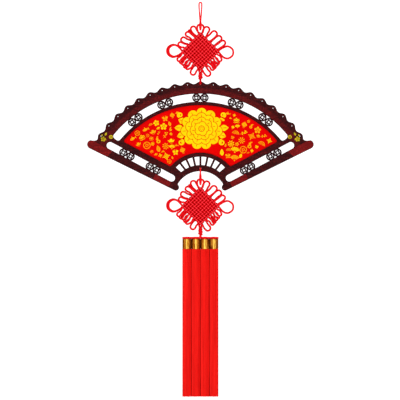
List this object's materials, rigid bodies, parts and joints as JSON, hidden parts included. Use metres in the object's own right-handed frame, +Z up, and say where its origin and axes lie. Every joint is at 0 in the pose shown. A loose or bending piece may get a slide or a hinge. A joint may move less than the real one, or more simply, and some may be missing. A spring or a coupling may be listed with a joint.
{
  "type": "hanging endless-knot ornament with a fan board and tassels",
  "caption": "Red cord hanging: an endless knot with ears above and below a fan-shaped fretwork board with a red panel, ending in capped tassels on a cord bar.",
  "frame": {"origin": "top of the hanging loop, in the middle of the ornament's width and depth", "axes": "+Z up along the hanging line, +X to the viewer's right seen from the front, front face towards -Y"},
  "size_m": [0.5998, 0.0234, 1.0459],
  "materials": {
    "red_cord": "satin",
    "dark_wood": "satin",
    "red_panel": "satin",
    "brass": "polished",
    "red_thread": "satin"
  },
  "bodies": {
    "root": {"hanging_loop": "red_cord", "upper_knot": "red_cord", "fan_frame": "dark_wood", "fan_panel": "red_panel", "link_cord": "red_cord", "lower_knot": "red_cord", "tassel_bar": "red_cord", "tassel_cap_1": "brass", "tassel_1": "red_thread", "tassel_cap_2": "brass", "tassel_2": "red_thread", "tassel_cap_3": "brass", "tassel_3": "red_thread", "tassel_cap_4": "brass", "tassel_4": "red_thread"}
  },
  "joints": []
}
